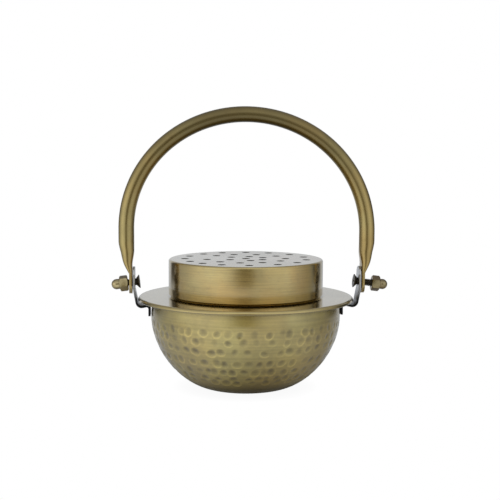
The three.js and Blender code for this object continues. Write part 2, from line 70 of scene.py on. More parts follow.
# Room between pieces that lie against each other, and the small circle that closes a turned piece
SEAT_GAP = 0.3
AXIS_RADIUS = 0.01

# Brim: its edge drops by BRIM_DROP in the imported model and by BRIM_EDGE_DROP here
BRIM_SHEET = 0.7
BRIM_DROP = 2.3
BRIM_EDGE_DROP = 1.8
BRIM_EDGE_RADIUS = 1.5
BRIM_TOP = BRIM_LOW + BRIM_DROP
NECK_RADIUS = 38.1
NECK_HEIGHT = 6.0
NECK_FILLET = 2.2

# Bowl: the inner points of its wall's curve are shares of the mouth, the brim's height and the foot
BOWL_WALL = 0.8
FOOT_RADIUS = 17.8
MOUTH_RADIUS = 47.7
FLARE_RADIUS = 1.2
FLANGE_TOP = BRIM_TOP - BRIM_SHEET - SEAT_GAP
FLANGE_RADIUS = BRIM_RADIUS - BRIM_SHEET - SEAT_GAP
FLANGE_ROUND = 0.3
BELLY_SHARE = 1.0926
BELLY_HEIGHT_SHARE = 0.448
KEEL_SHARE = 1.787

# Lid
LID_SHEET = 0.8
LID_PLAY = 0.55
LID_BORE = NECK_RADIUS + LID_PLAY
LID_RADIUS = LID_BORE + LID_SHEET
LID_EDGE_RADIUS = 1.1
LID_FOOT_RADIUS = 0.2
LID_TURN = -3.5
HOLE_RADIUS = 2.0
HOLE_LIP = 0.05
HOLE_MARGIN = 0.1
# Share of the lid's radius, and the degrees round the lid of the holes in that ring
SMOKE_RINGS = [
    (0, [0]),
    (0.25, [28, 80, 139, 216, 284, 330]),
    (0.515, [2, 39, 74, 108, 139, 194, 231, 262, 294, 329]),
    (0.79, [16, 42, 67, 90, 114, 136, 160, 183, 207, 227, 248, 273, 300, 325, 351]),
]

# Fire pan: its lip leaves room for fingers inside the brim's neck
PAN_SHEET = 0.8
PAN_HEIGHT = 22
PAN_FLAT_RADIUS = 12
PAN_CORNER = 5
PAN_TAPER = 4.5
PAN_LIP = 2.2
PAN_LIP_BEND = 0.5
FINGER_ROOM = 4.4

# Pivots: the handle and its brackets sit to the right of the bowl's middle
PIVOT_RISE = 7.1
PIVOT_HEIGHT = BRIM_TOP + PIVOT_RISE
HANDLE_SHIFT = 0.75

# Brackets: headings in degrees down the ear, leaning in, and climbing to the bowl
BRIM_CLEARANCE = 2.2
EAR_INSIDE = BRIM_RADIUS + BRIM_CLEARANCE
EAR_TOP = 8
STRAP_SHEET = 1.1
STRAP_WIDTH = 10.0
STRAP_CORNER = 0.22
EAR_MIDDLE = EAR_INSIDE + STRAP_SHEET / 2
DOWN = 270.0
LEANING = 257.0
CLIMBING = 168.0
LEAN_RADIUS = 6
HOOK_RADIUS = 2.6
HOOK_SPACE = 2.3
SHOULDER_RADIUS = 1.5
WELD_TAB_DROP = 3.6

# Handle: heights are above the pivots
TUBE_RADIUS = 4.0
TUBE_WALL = 0.7
PIVOT_PLAY = 0.25
SEAM = 0.15
TAB_INSIDE = EAR_INSIDE + STRAP_SHEET + PIVOT_PLAY
TAB_SHEET = 2 * TUBE_WALL + SEAM
CREASE_MARGIN = 0.4
CRUSH_LENGTH = 16.2
CRUSH_EASE = 1.6
LEAN_START = EAR_TOP + 0.5
LEAN_END = LEAN_START + 8
LEG_STEP = 0.35
LEG_HEIGHT = 26.5
ARCH_RISE = 58.8
ARCH_LEAN = 0.9

# Screws, which droop outwards, with the bare thread under each nut beyond what the droop needs
DROOP = math.radians(7)
SCREW_RADIUS = 1.9
SCREW_GRIP = 4.8
STRAP_HOLE_RADIUS = SCREW_RADIUS + 0.4
SHANK_RADIUS = 1.7
HEAD_FACE_RADIUS = 2.4
HEAD_RADIUS = 3.45
HEAD_CHAMFER = 0.15
HEAD_RIM = 0.3
HEAD_CONE = 1.55
HEAD_STANDOFF = 0.55
HEAD_PLACE = STRAP_SHEET / 2 + HEAD_STANDOFF + HEAD_CONE + HEAD_RIM
CROSS_DEPTH = 0.95
CROSS_TAPER = 0.75
CROSS_CORNERS = [(-1.9, -0.45), (1.9, -0.45), (1.9, 0.45), (-1.9, 0.45)]
THREAD_START = 2.35
THREAD_PITCH = 0.7
THREAD_DEPTH = 0.38
THREAD_RUN_OUT = 0.8
THREAD_TIP_DEPTH = 0.35
SPARE_THREAD = {"right": 3.4, "left": 0.0}

# Nuts: NUT_NECK has the place and radius of points between the hexagon and the dome
NUT_FLATS = 7
NUT_CORNER = NUT_FLATS / math.sqrt(3)
NUT_PLACE = TAB_INSIDE + TAB_SHEET - EAR_MIDDLE + NUT_CORNER * math.sin(DROOP) + SEAT_GAP
NUT_HEX_LENGTH = 4.1
NUT_CHAMFER = 0.45
NUT_NECK = [(2, 2.0), (2.2, 2.62), (4.0, 2.62), (4.12, 2.85), (4.3, 2.67)]
NUT_DOME_PLACE = 5.75
NUT_DOME_RADIUS = 2.65
NUT_BORE_DEPTH = 5.0
LEFT_NUT_TURN = math.radians(14)

# How far the tools that cut holes and ends reach to each side
CUT_REACH = 2


# Mesh helpers
def arc(x, y, radius, start, end, steps):
    """Points of an arc from one angle to another, in degrees."""
    angles = np.radians(np.linspace(start, end, steps + 1))
    return [(x + radius * math.cos(a), y + radius * math.sin(a)) for a in angles]


def turns(sides):
    """Angles of evenly spaced points round a circle."""
    return 2 * math.pi * np.arange(sides) / sides


def even(points, step):
    """The same line with points at even distances along it, and the distance of each."""
    points = np.array(points, float)
    along = np.r_[0, np.cumsum(np.hypot(*np.diff(points, axis=0).T))]
    wanted = np.linspace(0, along[-1], max(2, int(round(along[-1] / step)) + 1))
    return np.c_[np.interp(wanted, along, points[:, 0]), np.interp(wanted, along, points[:, 1])], wanted


def mesh_piece(name, points, faces, sharp=35):
    """A smooth-shaded object from points in millimetres, with edges kept sharp above an angle."""
    mesh = bpy.data.meshes.new(name)
    mesh.from_pydata((np.asarray(points, float) * MM).tolist(), [], faces)
    work = bmesh.new()
    work.from_mesh(mesh)
    bmesh.ops.remove_doubles(work, verts=work.verts, dist=1e-7)
    bmesh.ops.recalc_face_normals(work, faces=work.faces)
    work.to_mesh(mesh)
    work.free()
    return linked(name, mesh, sharp)


def linked(name, mesh, sharp):
    """Puts a mesh into the scene as an object."""
    finish_shading(mesh, sharp)
    piece = bpy.data.objects.new(name, mesh)
    bpy.context.scene.collection.objects.link(piece)
    return piece


def finish_shading(mesh, sharp):
    mesh.shade_smooth()
    mesh.set_sharp_from_angle(angle=math.radians(sharp))


def rings_of(profile, sides):
    """Points of a profile of (radius, height) turned about Z, ring by ring."""
    angles = turns(sides)
    profile = np.asarray(profile, float)
    x = profile[:, :1] * np.sin(angles)
    y = -profile[:, :1] * np.cos(angles)
    z = np.repeat(profile[:, 1:], sides, axis=1)
    return np.stack([x, y, z], axis=2)


def ring_faces(rings, sides, closed=False):
    """Quads between neighbouring rings of points, and between the last and first where closed."""
    faces = []
    last = rings if closed else rings - 1
    for ring in range(last):
        low = ring * sides
        high = ((ring + 1) % rings) * sides
        faces += [(low + s, low + (s + 1) % sides, high + (s + 1) % sides, high + s) for s in range(sides)]
    return faces


def capped_faces(rings, sides):
    """The same, with one face over the first ring and one over the last."""
    first = tuple(range(sides))
    last = tuple((rings - 1) * sides + s for s in range(sides))
    return [*ring_faces(rings, sides), first, last]


def turned(name, profile, base, sides):
    """A piece turned about Z from a closed profile of (radius, height above the base)."""
    points = rings_of([(radius, base + height) for radius, height in profile], sides)
    return mesh_piece(name, points.reshape(-1, 3), ring_faces(len(profile), sides, closed=True), 60)


def turned_along_x(name, profile, sides, sharp=35):
    """A closed piece turned about X from a profile of (along, radius), with its ends filled."""
    profile = np.asarray(profile, float)
    angles = turns(sides) + math.pi / sides
    x = np.repeat(profile[:, :1], sides, axis=1)
    y = profile[:, 1:] * np.cos(angles)
    z = profile[:, 1:] * np.sin(angles)
    points = np.stack([x, y, z], axis=2).reshape(-1, 3)
    return mesh_piece(name, points, capped_faces(len(profile), sides), sharp)


def block(name, points):
    """A closed piece from the corners of one end, followed by those of the other."""
    count = len(points) // 2
    faces = [tuple(range(count)), tuple(range(count, 2 * count))]
    faces += [(i, (i + 1) % count, count + (i + 1) % count, count + i) for i in range(count)]
    return mesh_piece(name, points, faces)


def moved(x, y, z):
    """A move in millimetres."""
    return Matrix.Translation(Vector((x, y, z)) * MM)


def joined_with(piece, cutter, operation):
    """Applies one exact boolean to a piece and removes the other object."""
    step = piece.modifiers.new("shape", "BOOLEAN")
    step.operation = operation
    step.solver = "EXACT"
    step.object = cutter
    apply_modifiers(piece)
    bpy.data.objects.remove(cutter)
    return piece


def drilled(piece, radius, x, z, sides):
    """Takes a round hole along X out of a piece."""
    hole = turned_along_x("hole", [(-CUT_REACH, radius), (CUT_REACH, radius)], sides)
    hole.data.transform(moved(x, 0, z))
    return joined_with(piece, hole, "DIFFERENCE")


def apply_modifiers(piece):
    graph = bpy.context.evaluated_depsgraph_get()
    made = bpy.data.meshes.new_from_object(piece.evaluated_get(graph))
    piece.modifiers.clear()
    piece.data = made


def softened(piece, width, sharp=35):
    """Rounds a piece's sharp edges a little, as deburred metal has them."""
    bevel = piece.modifiers.new("edges", "BEVEL")
    bevel.width = width * MM
    bevel.segments = 2
    bevel.limit_method = "ANGLE"
    bevel.angle_limit = math.radians(sharp)
    apply_modifiers(piece)
    finish_shading(piece.data, 50)
    return piece


def marked(piece, name, values):
    """Stores one number at each of a mesh's points, for its material to read."""
    attribute = piece.data.attributes.new(name, "FLOAT", "POINT")
    attribute.data.foreach_set("value", np.asarray(values, float))
    return piece


def faded(values, stops):
    """A level for each value, through stops of value and level."""
    return np.interp(values, *zip(*stops))


def places_of(piece):
    """A mesh's points in millimetres."""
    return np.array([tuple(v.co) for v in piece.data.vertices]) / MM


def normals_of(piece):
    return np.array([tuple(v.normal) for v in piece.data.vertices])


def dress(piece, body, slot, material, *nodes):
    """Gives a piece its material and body, and hides the CAD nodes that it stands for; the slot is not
    used.
    """
    piece.data.materials.clear()
    piece.data.materials.append(material)
    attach(piece, body)
    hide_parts(*nodes)
    return piece


# Material nodes
def node(tree, kind, inputs=(), **settings):
    """Adds a shader node, with its settings and its inputs given by name or number."""
    made = tree.nodes.new("ShaderNode" + kind)
    for name, value in settings.items():
        setattr(made, name, value)
    for socket, value in dict(inputs).items():
        if isinstance(value, bpy.types.NodeSocket):
            tree.links.new(value, made.inputs[socket])
        else:
            made.inputs[socket].default_value = value
    return made


def maths(tree, operation, first, second=0.0):
    return node(tree, "Math", {0: first, 1: second}, operation=operation).outputs[0]


def times(tree, first, second):
    return maths(tree, "MULTIPLY", first, second)


def blended(tree, factor, first, second):
    """A colour between two others."""
    return node(tree, "Mix", {0: factor, 6: first, 7: second}, data_type="RGBA").outputs[2]


def ranged(tree, value, low, high, to_low, to_high):
    inputs = {0: value, 1: low, 2: high, 3: to_low, 4: to_high}
    return node(tree, "MapRange", inputs).outputs[0]


def noise(tree, vector, scale, detail=2.0, roughness=0.5):
    inputs = {"Vector": vector, "Scale": scale, "Detail": detail, "Roughness": roughness}
    return node(tree, "TexNoise", inputs).outputs[0]


def colour(red, green, blue):
    return (red, green, blue, 1.0)


def split(tree, place):
    return node(tree, "SeparateXYZ", {0: place}).outputs


def combined(tree, x, y, z=0.0):
    return node(tree, "CombineXYZ", {0: x, 1: y, 2: z}).outputs[0]


def length(tree, place):
    return node(tree, "VectorMath", {0: place}, operation="LENGTH").outputs["Value"]


def openness(tree, reach):
    """How open a place is to its surroundings within so many millimetres."""
    inputs = {"Distance": reach * MM}
    return node(tree, "AmbientOcclusion", inputs, samples=8).outputs["AO"]


def turned_lines(tree, place, along):
    """A vector that changes quickly across the marks of turning about Z and slowly along them."""
    x, y, z = split(tree, place)
    # Height counts too, so that an upright wall has marks above each other
    across = maths(tree, "ADD", length(tree, combined(tree, x, y)), times(tree, z, 0.87))
    return combined(tree, across, times(tree, x, along), times(tree, y, along))


def tube_lines(tree, place, along):
    """The same for marks that run along the bent tube."""
    x, y, z = split(tree, place)
    arch_foot = (PIVOT_HEIGHT + LEG_HEIGHT) * MM
    above = maths(tree, "MAXIMUM", maths(tree, "SUBTRACT", z, arch_foot), 0.0)
    radius = length(tree, combined(tree, x, above))
    return combined(tree, radius, y, times(tree, z, along))


# Shares of its bright colour that a metal has in ruddy patches, and of its dull colour under patina and
# painted shade
RUDDY_SHARES = (1.07, 0.92, 0.78)
PATINA_AND_SHADE_SHARE = 0.35
# Brightness of wear and painted highlights, and the one that it falls to in the deepest painted shade, as
# dark rises through the range below
WEAR_AND_HIGHLIGHT_LEVEL = 1.5
DEEP_SHADE = (1.15, 1.4)
DEEP_SHADE_LEVEL = 0.15
# Depth of the tool marks, and how far painted shade reaches out of corners, in millimetres
MARK_DEPTH = 0.012
CORNER_SHADE_REACH = 1.2


def metal(
    name, bright, dull, roughness, lines="none", tarnish=0.4, marks=0.1, coat=0.6,
    stretch=0.0, blush=0.0, sheen=0.0, corner_shade=0.0, fineness=900.0,
):
    """Metal with fine tool marks and a cloudy tarnish; darker with patina and painted shade, and brighter
    with wear and painted highlights, where the mesh's marks say so, and darker with painted shade in
    corners where asked.
    """
    material = bpy.data.materials.new(name)
    material.use_nodes = True
    tree = material.node_tree
    shader = tree.nodes["Principled BSDF"]
    place = node(tree, "TexCoord").outputs["Object"]
    grain = place
    if lines == "turned":
        grain = turned_lines(tree, place, 0.02)
    elif lines == "tube":
        grain = tube_lines(tree, place, 0.03)
    broad = noise(tree, grain, fineness, 3.0, 0.6)
    fine = noise(tree, grain, 4200.0, 2.0, 0.6)
    cloud = noise(tree, place, 55.0, 4.0, 0.6)
    spots = noise(tree, place, 420.0, 2.0, 0.5)
    patches = noise(tree, place, 38.0, 3.0)
    age = ranged(tree, cloud, 0.38, 0.68, 0.0, tarnish)
    dark = node(tree, "Attribute", attribute_name="dark").outputs["Fac"]
    wear_and_highlight = node(tree, "Attribute", attribute_name="wear_and_highlight").outputs["Fac"]
    # Painted shade in corners, where little of the surroundings is open
    if corner_shade:
        in_corners = ranged(tree, openness(tree, CORNER_SHADE_REACH), 0.45, 0.95, corner_shade, 0.0)
        dark = maths(tree, "MAXIMUM", dark, in_corners)

    # Colour: ruddy in patches, dull in clouds, and darkened where the mesh marks patina and painted shade
    ruddy = colour(*[part * share for part, share in zip(bright, RUDDY_SHARES)])
    patina_and_shade = colour(*[PATINA_AND_SHADE_SHARE * part for part in dull[:3]])
    tone = blended(tree, ranged(tree, patches, 0.42, 0.62, 0.0, blush), bright, ruddy)
    tone = blended(tree, age, tone, dull)
    tone = blended(tree, dark, tone, patina_and_shade)

    # Brightness: tool marks and specks, brighter where wear and painted highlights are marked, and black in
    # the deepest painted shade
    streak = ranged(tree, broad, 0.35, 0.65, 1.0 - marks, 1.0 + marks)
    speck = ranged(tree, spots, 0.60, 0.72, 1.0, 0.92)
    level = times(tree, streak, speck)
    level = times(tree, level, ranged(tree, wear_and_highlight, 0.0, 1.0, 1.0, WEAR_AND_HIGHLIGHT_LEVEL))
    level = times(tree, level, ranged(tree, dark, *DEEP_SHADE, 1.0, DEEP_SHADE_LEVEL))
    tone = node(tree, "VectorMath", {0: tone, "Scale": level}, operation="SCALE").outputs[0]
    tree.links.new(tone, shader.inputs["Base Color"])

    # Roughness: uneven, and higher where the metal is dull or dark
    rough = maths(tree, "ADD", ranged(tree, fine, 0.3, 0.7, -0.05, 0.05), roughness)
    rough = maths(tree, "ADD", rough, times(tree, age, 0.12))
    rough = maths(tree, "ADD", rough, times(tree, dark, 0.12))
    tree.links.new(rough, shader.inputs["Roughness"])

    height = maths(tree, "ADD", fine, times(tree, broad, 2.0))
    bump = node(tree, "Bump", {"Strength": 0.25, "Distance": MARK_DEPTH * MM, "Height": height})
    tree.links.new(bump.outputs[0], shader.inputs["Normal"])

    # A full coat reflects more than a thin one
    settings = {
        "Metallic": 1.0,
        "Coat Weight": coat,
        "Coat Roughness": 0.12,
        "Coat IOR": 1.7 if coat == 1 else 1.5,
        "Sheen Weight": sheen,
        "Sheen Roughness": 0.35,
    }
    for socket, value in settings.items():
        shader.inputs[socket].default_value = value
    if stretch:
        shader.inputs["Anisotropic"].default_value = stretch
        shader.inputs["Anisotropic Rotation"].default_value = 0.25
        around = node(tree, "Tangent", direction_type="RADIAL", axis="Z").outputs[0]
        tree.links.new(around, shader.inputs["Tangent"])
    return material


BRASS = colour(0.57, 0.435, 0.15)
BOWL_BRASS = colour(0.54, 0.44, 0.14)
PAN_BRASS = colour(0.50, 0.40, 0.20)
TUBE_BRASS = colour(0.50, 0.39, 0.15)
NUT_BRASS = colour(0.46, 0.40, 0.20)
TARNISH = colour(0.24, 0.18, 0.07)
NUT_TARNISH = colour(0.34, 0.20, 0.10)
STRAP_STEEL = colour(0.64, 0.63, 0.61)
STRAP_TARNISH = colour(0.10, 0.10, 0.10)
SCREW_STEEL = colour(0.13, 0.115, 0.09)
SCREW_TARNISH = colour(0.05, 0.04, 0.03)

bowl_metal = metal(
    "hammered_brass", BOWL_BRASS, TARNISH, roughness=0.32, lines="turned", tarnish=0.40, marks=0.09,
    coat=1.0, blush=0.5, sheen=0.25,
)
brim_metal = metal(
    "brushed_brass", BRASS, TARNISH, roughness=0.18, lines="turned", tarnish=0.25, marks=0.08,
    coat=1.0, fineness=1500.0,
)
lid_metal = metal(
    "lid_brass", BRASS, TARNISH, roughness=0.20, lines="turned", tarnish=0.25, marks=0.10,
    coat=1.0, stretch=0.5, blush=0.8, fineness=2100.0,
)
pan_metal = metal("pan_brass", PAN_BRASS, TARNISH, roughness=0.42, lines="turned", tarnish=0.5, marks=0.08)
tube_metal = metal(
    "tube_brass", TUBE_BRASS, TARNISH, roughness=0.17, lines="tube", tarnish=0.35, marks=0.05,
    coat=0.35, blush=0.7,
)
strap_metal = metal("strap_steel", STRAP_STEEL, STRAP_TARNISH, roughness=0.20, tarnish=0.25, coat=0.3)
screw_metal = metal("screw_steel", SCREW_STEEL, SCREW_TARNISH, roughness=0.30, coat=0.2)
nut_metal = metal("nut_brass", NUT_BRASS, NUT_TARNISH, roughness=0.15, coat=0.4, blush=0.5, corner_shade=0.9)


# Bowl
def wall_line():
    """The outside of the bowl's wall from its mouth down to its foot, as one cubic curve."""
    mouth = np.array((MOUTH_RADIUS, FLANGE_TOP - BOWL_WALL - FLARE_RADIUS))
    belly = np.array((MOUTH_RADIUS * BELLY_SHARE, BRIM_TOP * BELLY_HEIGHT_SHARE))
    keel = np.array((FOOT_RADIUS * KEEL_SHARE, 0))
    foot = np.array((FOOT_RADIUS, 0))
    t = np.linspace(0, 1, 400)[:, None]
    upper = (1 - t) ** 3 * mouth + 3 * (1 - t) ** 2 * t * belly
    return upper + 3 * (1 - t) * t**2 * keel + t**3 * foot


# Rows of punched hollows: distance down the wall from the mouth, and the angles of those in front,
# in degrees from the front. The rest of each row goes on round the bowl as unevenly.
HOLLOW_ROWS = [
    (9.3, [-38, -28, -20, -13, -7, 2, 10, 18, 22, 33, 39]),
    (13.4, [-34, -30, -21, -13, -5, 3, 12, 21, 31]),
    (18.8, [-50, -42, -35, -24, -18, -10, -2, 8, 18, 24, 31, 37]),
    (25.2, [-49, -39, -30, -22, -17, -9, -1, 5, 12, 20, 28]),
    (30.8, [-45, -36, -29, -25, -18, -12, -4, 3, 9, 14]),
    (35.6, [-35, -24, -12, -1, 6, 12, 20]),
    (38.9, [-28, -18, -10, 1, 13, 22]),
]
HOLLOW_RADIUS = 1.95
HOLLOW_DEPTH = 0.27
RADIUS_SPREAD = (0.85, 1.15)
DEPTH_SPREAD = (0.4, 1.2)
# Distances down the wall over which a hollow would get twice as wide, and twice as deep
WIDENING = 300
DEEPENING = 120
# Distances between neighbours in the rest of a row, and the least room left where it meets its start
HOLLOW_SPACINGS = [4.6, 6.2, 6.6, 7.0, 7.6]
HOLLOW_ROOM = 4
# How far a hollow strays from its place, in degrees and in millimetres, and how skewed and oval it is
STRAY = 0.5
SKEW = 0.6
OVAL = 0.1
# How steep a hollow is at its edge, and how many times as dark a deep one can be
CUP_POWER = 1.3
MOST_SHADE = 1.3
# The raised rim: height in millimetres, middle, width and reach in the hollow's radii, and wear
RIM_HEIGHT = 0.05
RIM_MIDDLE = 1.08
RIM_WIDTH = 0.17
RIM_REACH = 1.8
RIM_WEARS = [0.1, 0.25, 0.45, 0.75, 1.0]
# How dark a hollow is, patina with painted shade on its upper part, and how bright its rim is, wear with a
# painted highlight on its lower part, by the distance below its middle in its radii
CUP_SHADE = [(-0.8, 0.65), (1.2, 0.15)]
RIM_WEAR_AND_HIGHLIGHT = [(-0.917, 0), (0.75, 1)]


def hollow_places(line, along):
    """Every hollow: angle in radians, distance down the wall, radius, depth, wear of its rim, skew."""
    chance = random.Random(SEED)
    places = []
    for distance, front in HOLLOW_ROWS:
        radius = np.interp(distance, along, line[:, 0])
        angles = list(front)
        angle = front[-1]
        while True:
            angle += math.degrees(chance.choice(HOLLOW_SPACINGS) / radius)
            if angle > 360 + front[0] - math.degrees(HOLLOW_ROOM / radius):
                break
            angles.append(angle)
        places += [
            (
                math.radians(angle + chance.uniform(-STRAY, STRAY)),
                distance + chance.uniform(-STRAY, STRAY),
                HOLLOW_RADIUS * chance.uniform(*RADIUS_SPREAD) * (1 + distance / WIDENING),
                HOLLOW_DEPTH * chance.uniform(*DEPTH_SPREAD) * (1 + distance / DEEPENING),
                chance.choice(RIM_WEARS),
                chance.uniform(-SKEW, SKEW),
            )
            for angle in angles
        ]
    return places


def hollow_field(places, angles, along, radii):
    """How deep the wall is pressed in at each distance and angle, how dark with patina and painted shade,
    and how bright with wear and painted highlights.
    """
    depth = np.zeros((len(along), len(angles)))
    hollow = np.zeros_like(depth)
    rim = np.zeros_like(depth)
    for angle, distance, size, deep, wear, skew in places:
        rows = np.where(abs(along - distance) < RIM_REACH * size)[0]
        turn = (angles - angle + math.pi) % (2 * math.pi) - math.pi
        reach = RIM_REACH * size / radii[rows].min()
        columns = np.where(abs(turn) < reach)[0]
        across = turn[columns][None, :] * radii[rows][:, None]
        down = (along[rows] - distance)[:, None]
        share = np.hypot(across, down) / size
        share *= 1 + OVAL * np.sin(2 * np.arctan2(down, across) + 4 * skew)
        cup = np.clip(1 - share**2, 0, 1)
        ridge = np.exp(-(((share - RIM_MIDDLE) / RIM_WIDTH) ** 2))
        # Patina darkened by painted shade on the hollow's upper part, and rim wear lit by a painted
        # highlight on its lower part
        shade = faded(down / size, CUP_SHADE) * min(deep / HOLLOW_DEPTH, MOST_SHADE)
        worn_and_lit = faded((down + skew * across) / size, RIM_WEAR_AND_HIGHLIGHT) * wear
        at = np.ix_(rows, columns)
        depth[at] += deep * cup**CUP_POWER - RIM_HEIGHT * ridge * (0.4 + wear)
        hollow[at] = np.maximum(hollow[at], cup * shade)
        rim[at] = np.maximum(rim[at], ridge * worn_and_lit)
    return depth, hollow, rim * (1 - hollow)


# Sides of the bowl, steps along the wall outside and inside, and radii of the rings in the flat foot
BOWL_SIDES = 560
OUTER_STEP = 0.5
INNER_STEP = 0.9
FOOT_RINGS = [AXIS_RADIUS, 9, 15]
# Painted shade on the wall, by the distance down from its mouth: a shadow line under the brim, and darker
# towards the foot
BOWL_SHADE = [(0, 0.35), (0.8, 0.05), (3, 0), (30, 0), (44, 0.2)]


def outward(line):
    """The direction out of the wall at each point of its line."""
    slope = np.gradient(line, axis=0)
    normal = np.c_[-slope[:, 1], slope[:, 0]]
    return normal / np.hypot(*normal.T)[:, None]


def pressed(line, normal, depth, angles):
    """The rings of a line turned about Z, with each point pressed in by its depth."""
    radius = line[:, :1] - normal[:, :1] * depth
    height = line[:, 1:] - normal[:, 1:] * depth
    return np.stack([radius * np.sin(angles), -radius * np.cos(angles), height], axis=2)


def bowl_shell():
    line, along = even(wall_line(), OUTER_STEP)
    inner_line, inner_along = even(wall_line(), INNER_STEP)
    angles = turns(BOWL_SIDES)
    places = hollow_places(line, along)
    depth, hollow, rim = hollow_field(places, angles, along, line[:, 0])
    inner_depth, _, _ = hollow_field(places, angles, inner_along, inner_line[:, 0])
    inner_normal = outward(inner_line)
    flare = (MOUTH_RADIUS + FLARE_RADIUS, FLANGE_TOP - BOWL_WALL - FLARE_RADIUS)
    half = BOWL_WALL / 2
    over = [
        *arc(*flare, FLARE_RADIUS, 176, 90, 7),
        (FLANGE_RADIUS - FLANGE_ROUND / 2, FLANGE_TOP - BOWL_WALL),
        *arc(FLANGE_RADIUS - FLANGE_ROUND, FLANGE_TOP - half, half, -50, 50, 4),
        (FLANGE_RADIUS - FLANGE_ROUND / 2, FLANGE_TOP),
        *arc(*flare, FLARE_RADIUS + BOWL_WALL, 90, 176, 7),
    ]
    skin = np.concatenate(
        [
            rings_of([(radius, 0) for radius in FOOT_RINGS], BOWL_SIDES),
            pressed(line, outward(line), depth, angles)[::-1],
            rings_of(over, BOWL_SIDES),
            pressed(inner_line - inner_normal * BOWL_WALL, inner_normal, inner_depth, angles),
            rings_of([(radius, BOWL_WALL) for radius in FOOT_RINGS[::-1]], BOWL_SIDES),
        ]
    )
    faces = capped_faces(len(skin), BOWL_SIDES)
    # The first cap faces down
    faces[-2] = faces[-2][::-1]
    mesh = bpy.data.meshes.new("bowl_shell")
    mesh.from_pydata((skin.reshape(-1, 3) * MM).tolist(), [], faces)
    piece = linked("bowl_shell", mesh, 60)
    # Dark: patina and painted shade in the hollows, and the painted shadow under the brim; the rim field is
    # wear with painted highlights
    dark = np.maximum(hollow, faded(along, BOWL_SHADE)[:, None])
    first = len(FOOT_RINGS)
    for name, field in (("dark", dark), ("wear_and_highlight", rim)):
        whole = np.zeros((len(skin), BOWL_SIDES))
        whole[first : first + len(line)] = field[::-1]
        marked(piece, name, whole.ravel())
    return piece


dress(bowl_shell(), "censer_body", "hammered_brass", bowl_metal, "bowl")


# Brim

# Room between the flat and the brim's edge, and between it and the bend up to the neck
FLAT_OUTER_ROOM = 2.2
FLAT_INNER_ROOM = 0.4
# How dark the brim is, by the distance below its top and by the distance out from the lid's foot
EDGE_SHADE = [(1.25, 0), (1.6, 0.7)]
LID_SHADE = [(0, 0.3), (0.8, 0)]


def brim_ring():
    bend = NECK_RADIUS + NECK_FILLET
    half = BRIM_SHEET / 2
    edge_middle = (BRIM_RADIUS - BRIM_EDGE_RADIUS, -BRIM_EDGE_RADIUS)
    flat_radii = np.linspace(BRIM_RADIUS - FLAT_OUTER_ROOM, bend + FLAT_INNER_ROOM, 16)
    profile = [
        (BRIM_RADIUS - BRIM_SHEET, -BRIM_EDGE_DROP + half),
        *arc(BRIM_RADIUS - half, -BRIM_EDGE_DROP + half, half, 195, 345, 6),
        *arc(*edge_middle, BRIM_EDGE_RADIUS, 0, 90, 14),
        *[(radius, 0) for radius in flat_radii],
        *arc(bend, NECK_FILLET, NECK_FILLET, 270, 180, 10),
        *arc(NECK_RADIUS - half, NECK_HEIGHT - half, half, 0, 180, 6),
        *arc(bend, NECK_FILLET, NECK_FILLET + BRIM_SHEET, 180, 270, 10),
        *arc(*edge_middle, BRIM_EDGE_RADIUS - BRIM_SHEET, 90, 0, 4),
    ]
    piece = turned("brim_ring", profile, BRIM_TOP, 288)
    spots = places_of(piece)
    under_edge = faded(BRIM_TOP - spots[:, 2], EDGE_SHADE)
    under_lid = faded(np.hypot(spots[:, 0], spots[:, 1]) - LID_RADIUS, LID_SHADE)
    return marked(piece, "dark", np.maximum(under_edge, under_lid))


dress(brim_ring(), "censer_body", "brushed_brass", brim_metal, "brim_plate")


# Lid
LID_SIDES = 240
HOLE_SIDES = 32
LID_FLAT_ROOM = 0.4
# How dark the painted shade inside the smoke holes is, at random between these
HOLE_SHADE = (1.2, 1.4)


def smoke_holes():
    """The centre of every hole in the lid."""
    centres = []
    for share, angles in SMOKE_RINGS:
        for degrees in angles:
            angle = math.radians(degrees + LID_TURN)
            centres.append((LID_RADIUS * share * math.cos(angle), LID_RADIUS * share * math.sin(angle)))
    return centres


def pierced_disc(outer, holes, hole_radius):
    """Flat triangles between a ring of points and the edges of round holes."""
    points = [Vector(p) for p in outer]
    edges = [(i, (i + 1) % len(outer)) for i in range(len(outer))]
    for x, y in holes:
        first = len(points)
        for angle in turns(HOLE_SIDES):
            points.append(Vector((x + hole_radius * math.cos(angle), y + hole_radius * math.sin(angle))))
        edges += [(first + s, first + (s + 1) % HOLE_SIDES) for s in range(HOLE_SIDES)]
    made = delaunay_2d_cdt(points, edges, [], 1, 1e-5)
    corners = np.array([tuple(p) for p in made[0]])
    kept = []
    for face in made[2]:
        middle = corners[list(face)].mean(0)
        if min(math.hypot(middle[0] - x, middle[1] - y) for x, y in holes) > hole_radius * 0.98:
            kept.append(tuple(face))
    return corners, kept


